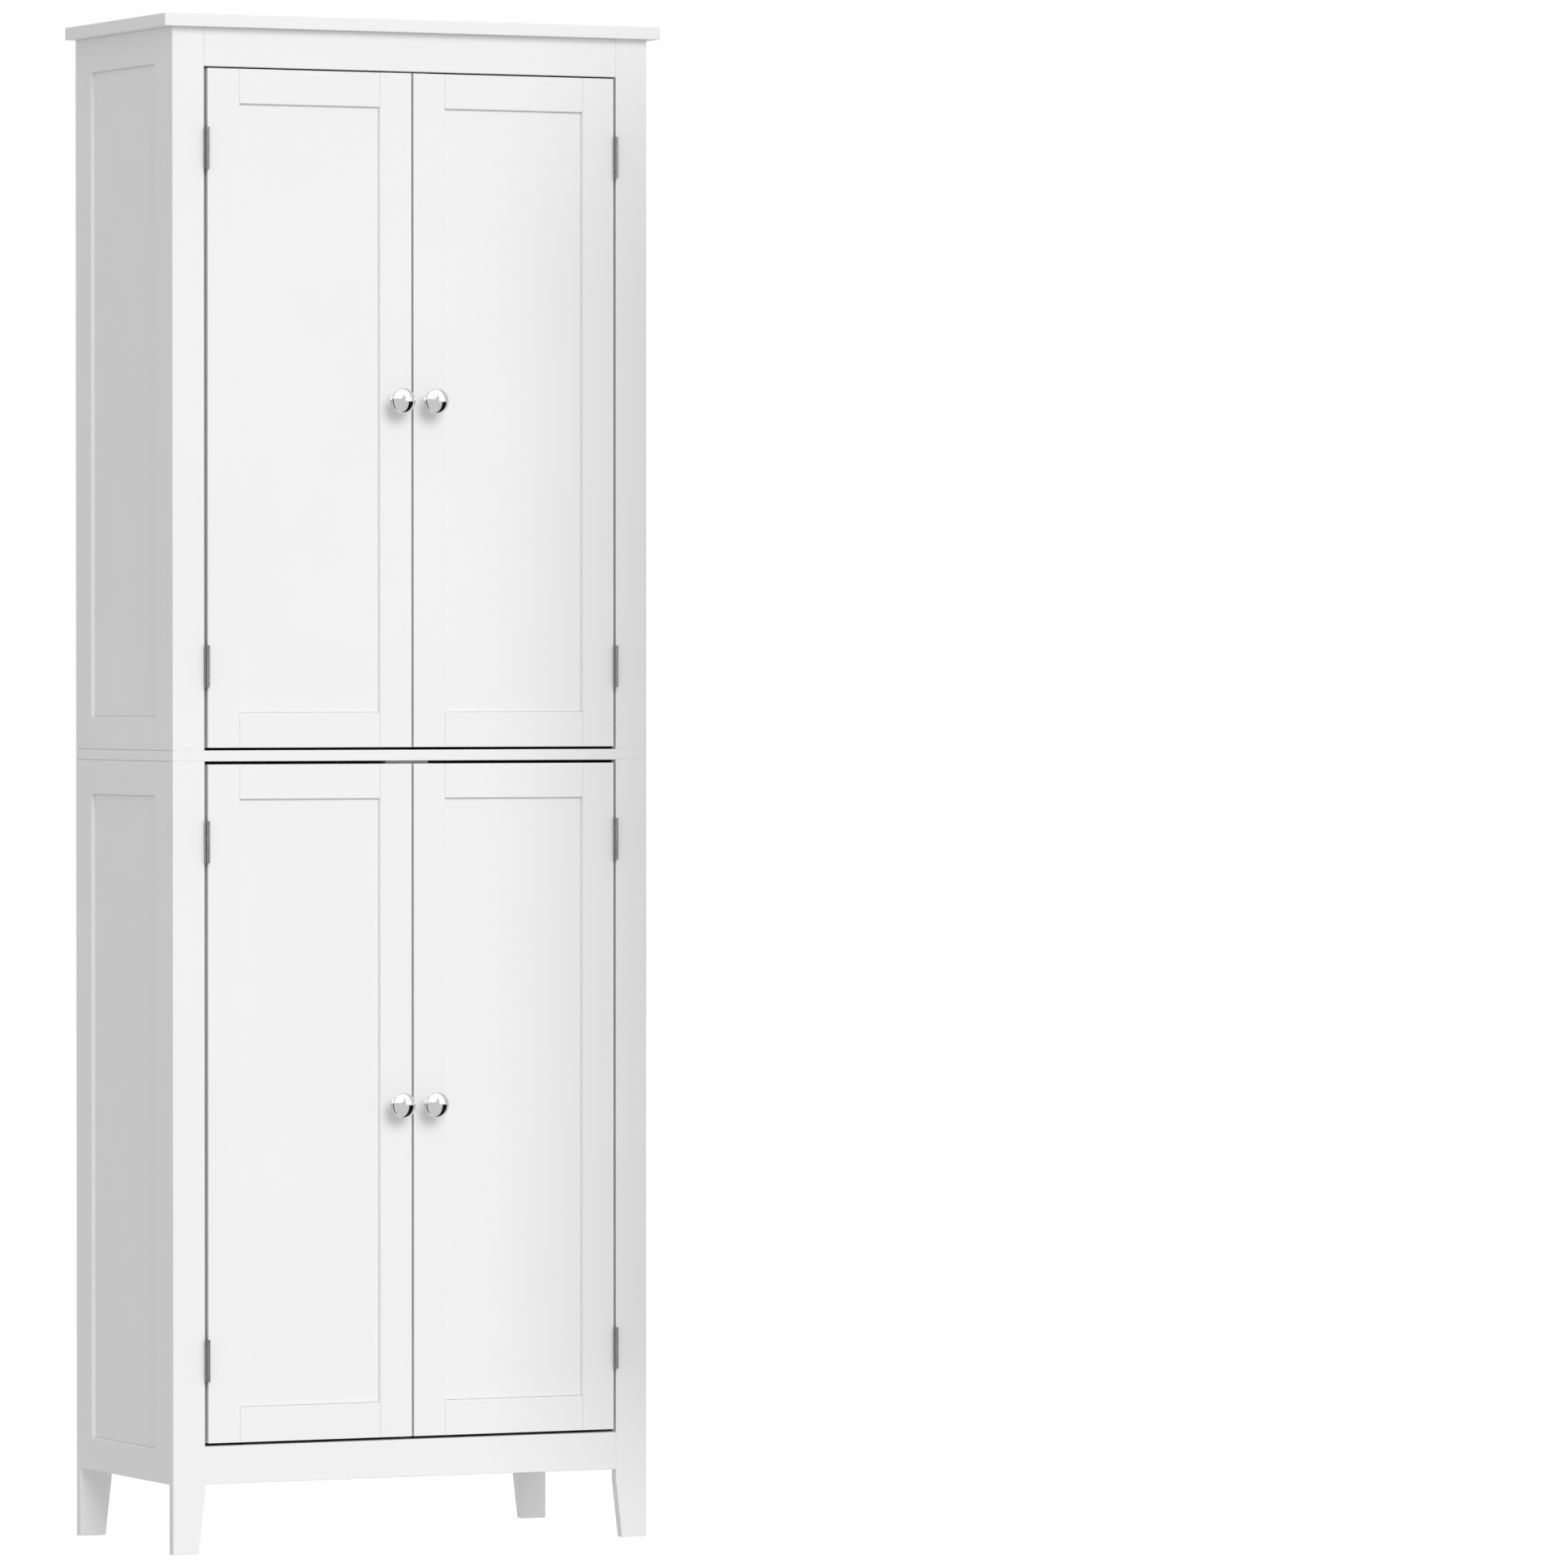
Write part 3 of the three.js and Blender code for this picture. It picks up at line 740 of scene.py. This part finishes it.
STRIKE_WIDTH = 30 * MM
STRIKE_HEIGHT = 11 * MM
STRIKE_THICK = 1 * MM
STRIKE_CORNER = 4.5 * MM
STRIKE_ROUNDING = 0.25 * MM
STRIKE_INSET = 16.5 * MM
STRIKE_DROP = 7 * MM
STRIKE_SCREW_OFFSET = 9.5 * MM
STRIKE_SCREW_RADIUS = 2.6 * MM
STRIKE_SCREW_RISE = 0.2 * MM
DIMPLE_RADIUS = 1.9 * MM
DIMPLE_SUNK = 0.1 * MM
DIMPLE_PROFILE = (  # share of the radius, and height
    (0, 0),
    (1, 0),
    (1, 0.25 * MM),
    (0.85, 0.45 * MM),
    (0.6, 0.3 * MM),
    (0, 0.1 * MM),
)
POLE_WIDTH = 28 * MM
POLE_HEIGHT = 3.6 * MM
POLE_DROPS = (4.4 * MM, 12 * MM)
POLE_PROUD = 0.15 * MM
POLE_DEPTH = 8 * MM
POLE_CORNER = 0.6 * MM
POLE_ROUNDING = 0.2 * MM
SMALL_SEGMENTS = 32


def build_strikes():
    """The steel plates inside the doors that the catches hold, with two screws and a dimple."""
    for level in LEVELS:
        for name, side in SIDES:
            body = f"{level}_{name}_door"
            low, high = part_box(f"{level}_door_frame_{name}")
            free = high.x if side < 0 else low.x
            centre = Vector((free + side * STRIKE_INSET, high.y, high.z - STRIKE_DROP))
            bm = bmesh.new()
            shape = (STRIKE_WIDTH, STRIKE_HEIGHT, STRIKE_CORNER)
            extrude(bm, rounded_rectangle(centre, X, Z, *shape), Y * STRIKE_THICK)
            finish_piece(
                f"{level}_strike_plate_{name}", bm, STEEL, body, STRIKE_ROUNDING
            )
            face = centre + Y * STRIKE_THICK
            spots = [face + X * STRIKE_SCREW_OFFSET * s for s in (-1, 1)]
            add_screws(
                f"{level}_strike_screws_{name}", spots, Y, STRIKE_SCREW_RADIUS,
                STRIKE_SCREW_RISE, body,
            )
            bm = bmesh.new()
            profile = [(share * DIMPLE_RADIUS, height) for share, height in DIMPLE_PROFILE]
            lathe(bm, profile, face - Y * DIMPLE_SUNK, Y, SMALL_SEGMENTS)
            finish_piece(
                f"{level}_strike_dimple_{name}", bm, STEEL, body,
                smooth_angle=SMOOTH_TURNED,
            )


def build_catches():
    """The steel pole plates that show in the mouth of each catch."""
    for level in LEVELS:
        low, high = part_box(f"{level}_magnetic_catch")
        for i, drop in enumerate(POLE_DROPS):
            centre = Vector(((low.x + high.x) / 2, low.y - POLE_PROUD, high.z - drop))
            bm = bmesh.new()
            shape = (POLE_WIDTH, POLE_HEIGHT, POLE_CORNER)
            extrude(bm, rounded_rectangle(centre, X, Z, *shape, steps=4), Y * POLE_DEPTH)
            finish_piece(
                f"{level}_catch_pole_{i + 1}", bm, POLE_STEEL, "carcass",
                POLE_ROUNDING,
            )


# ---- Shelf pins ---------------------------------------------------------------------------

PIN_RADIUS = 2.5 * MM
PIN_COLLAR_RADIUS = 3.6 * MM
PIN_COLLAR_THICK = 0.8 * MM
PIN_COLLAR_SLOPE = 0.2 * MM
PIN_PROUD = 8 * MM
PIN_TIP = 0.6 * MM
PIN_INSET = 37 * MM


def build_shelf_pins():
    """Steel pins in the sides carry the loose shelves."""
    profile = [
        (0, 0),
        (PIN_COLLAR_RADIUS, 0),
        (PIN_COLLAR_RADIUS, PIN_COLLAR_THICK),
        (PIN_RADIUS, PIN_COLLAR_THICK + PIN_COLLAR_SLOPE),
        (PIN_RADIUS, PIN_PROUD - PIN_TIP),
        (PIN_RADIUS - PIN_TIP, PIN_PROUD),
        (0, PIN_PROUD),
    ]
    for level in LEVELS:
        for number in (1, 2):
            low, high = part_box(f"{level}_shelf_{number}")
            bm = bmesh.new()
            for end, inward in ((low.x, X), (high.x, -X)):
                for y in (low.y + PIN_INSET, high.y - PIN_INSET):
                    place = Vector((end, y, low.z - PIN_COLLAR_RADIUS))
                    lathe(bm, profile, place, inward, SMALL_SEGMENTS)
            finish_piece(
                f"{level}_shelf_{number}_pins", bm, SCREW_STEEL, "carcass",
                smooth_angle=SMOOTH_TURNED,
            )


dress_cad_nodes()
build_frames()
build_backs()
build_knobs()
build_hinge_screws()
build_strikes()
build_catches()
build_shelf_pins()

# ---- Studio -------------------------------------------------------------------------------

AMBIENT = 0.63
BACKDROP = 1.0
KEY_AZIMUTH = math.radians(0)
KEY_ELEVATION = math.radians(27)
KEY_ANGLE = math.radians(34)
KEY_STRENGTH = 1.39
KEY_DISTANCE = 4
FLOOR_HALF = 15
FLOOR_GLOW = 0.9
FLOOR_GREY = (0.35, 0.357)
FLOOR_PATCH = 0.5

# Reflections only: the level between the softboxes, then each softbox or dark screen with its
# span of azimuth and elevation in degrees, seen from the cabinet. Azimuth 0 is in front.
REFLECTION_BASE = 0.70
REFLECTION_EDGE = 1.5
REFLECTION_AREAS = (
    (1.6, (-60, 50), (13, 75)),
    (1.6, (25, 50), (1, 75)),
    (0.70, (10, 24), (-5, 34)),
    (0.01, (37, 66), (-80, -1)),
    (0.02, (-140, -58), (-60, 12)),
)

# A flag takes some of the key light off the right edge of the cabinet.
FLAG_X = (0.2525, 1.2)
FLAG_Y = -0.65
FLAG_Z = (0.32, 1.85)
FLAG_GREY = (0.01, 0.02)
FLAG_PATCH = 0.1


def staged(name, bm, material, hidden_from):
    """A studio object that some kinds of rays don't see."""
    mesh = bpy.data.meshes.new(name)
    bm.to_mesh(mesh)
    bm.free()
    mesh.materials.append(material)
    made = bpy.data.objects.new(name, mesh)
    bpy.context.scene.collection.objects.link(made)
    for ray in hidden_from:
        setattr(made, f"visible_{ray}", False)


def build_floor():
    """A pale floor that melts into the backdrop and throws no light on the cabinet."""
    material, nodes, shader, place = new_material("studio_floor")
    low, high = FLOOR_GREY
    patches = spread(nodes, noise(nodes, place, FLOOR_PATCH), 0, 1)
    nodes.set(shader, "Base Color", tint(nodes, patches, grey(low), grey(high)))
    shader.inputs["Roughness"].default_value = 1
    shader.inputs["Specular IOR Level"].default_value = 0
    shader.inputs["Emission Color"].default_value = (1, 1, 1, 1)
    shader.inputs["Emission Strength"].default_value = FLOOR_GLOW
    bm = bmesh.new()
    bmesh.ops.create_grid(bm, x_segments=1, y_segments=1, size=FLOOR_HALF)
    hidden = ("diffuse", "glossy", "transmission", "shadow", "volume_scatter")
    staged("floor", bm, material, hidden)


def build_flag():
    """The flag is there for shadow rays only."""
    material, nodes, shader, place = new_material("black_flag")
    low, high = FLAG_GREY
    patches = noise(nodes, place, FLAG_PATCH)
    nodes.set(shader, "Base Color", tint(nodes, patches, grey(low), grey(high)))
    bm = bmesh.new()
    corners = ((0, 0), (1, 0), (1, 1), (0, 1))
    bm.faces.new([bm.verts.new((FLAG_X[i], FLAG_Y, FLAG_Z[j])) for i, j in corners])
    staged("flag", bm, material, ("camera", "diffuse", "glossy", "transmission"))


def within(nodes, value, span, edge):
    """1 where value lies in the span, with soft ends."""
    low, high = span
    shares = []
    for start, stop in ((low - edge, low + edge), (high + edge, high - edge)):
        made = nodes.add("ShaderNodeMapRange", {"interpolation_type": "SMOOTHSTEP"}, Value=value)
        made.inputs["From Min"].default_value = math.radians(start)
        made.inputs["From Max"].default_value = math.radians(stop)
        shares.append(made.outputs["Result"])
    return maths(nodes, "MULTIPLY", *shares)


def maths(nodes, operation, *values):
    """One maths node on sockets or numbers."""
    made = nodes.add("ShaderNodeMath", {"operation": operation})
    for i, value in enumerate(values):
        if isinstance(value, bpy.types.NodeSocket):
            nodes.tree.links.new(value, made.inputs[i])
        else:
            made.inputs[i].default_value = value
    return made.outputs[0]


def reflected_level(nodes):
    """How bright the studio looks in a reflection, by direction."""
    direction = nodes.add("ShaderNodeTexCoord").outputs["Generated"]
    parts = nodes.add("ShaderNodeSeparateXYZ", Vector=direction)
    forward = maths(nodes, "MULTIPLY", parts.outputs["Y"], -1.0)
    azimuth = maths(nodes, "ARCTAN2", parts.outputs["X"], forward)
    elevation = maths(nodes, "ARCSINE", parts.outputs["Z"])
    level = REFLECTION_BASE
    for area, azimuths, elevations in REFLECTION_AREAS:
        inside = maths(
            nodes, "MULTIPLY",
            within(nodes, azimuth, azimuths, REFLECTION_EDGE),
            within(nodes, elevation, elevations, REFLECTION_EDGE),
        )
        mixed = nodes.add("ShaderNodeMix", {"data_type": "FLOAT"})
        nodes.tree.links.new(inside, mixed.inputs[0])
        if isinstance(level, bpy.types.NodeSocket):
            nodes.tree.links.new(level, mixed.inputs[2])
        else:
            mixed.inputs[2].default_value = level
        mixed.inputs[3].default_value = area
        level = mixed.outputs[0]
    return level


def build_lights():
    """A wide soft key light and an even white world, which reflections see as softboxes."""
    light = bpy.data.lights.new("key", "SUN")
    light.angle = KEY_ANGLE
    light.energy = KEY_STRENGTH
    key = bpy.data.objects.new("key", light)
    towards = Vector((
        math.sin(KEY_AZIMUTH) * math.cos(KEY_ELEVATION),
        -math.cos(KEY_AZIMUTH) * math.cos(KEY_ELEVATION),
        math.sin(KEY_ELEVATION),
    ))
    key.location = towards * KEY_DISTANCE
    key.rotation_mode = "QUATERNION"
    key.rotation_quaternion = (-towards).to_track_quat("-Z", "Y")
    bpy.context.scene.collection.objects.link(key)

    world = bpy.data.worlds.new("studio")
    world.use_nodes = True
    bpy.context.scene.world = world
    tree = world.node_tree
    tree.nodes.clear()
    nodes = Nodes(tree)
    path = nodes.add("ShaderNodeLightPath")
    white = (1, 1, 1, 1)
    glow = nodes.add("ShaderNodeBackground", Color=white, Strength=AMBIENT)
    mirror = nodes.add("ShaderNodeBackground", Color=white, Strength=reflected_level(nodes))
    backdrop = nodes.add("ShaderNodeBackground", Color=white, Strength=BACKDROP)
    shown = glow
    for ray, other in (("Is Glossy Ray", mirror), ("Is Camera Ray", backdrop)):
        mixed = nodes.add("ShaderNodeMixShader")
        tree.links.new(path.outputs[ray], mixed.inputs[0])
        tree.links.new(shown.outputs[0], mixed.inputs[1])
        tree.links.new(other.outputs[0], mixed.inputs[2])
        shown = mixed
    end = nodes.add("ShaderNodeOutputWorld")
    tree.links.new(shown.outputs[0], end.inputs["Surface"])
    bpy.context.scene.view_settings.view_transform = "Standard"


build_floor()
build_flag()
build_lights()
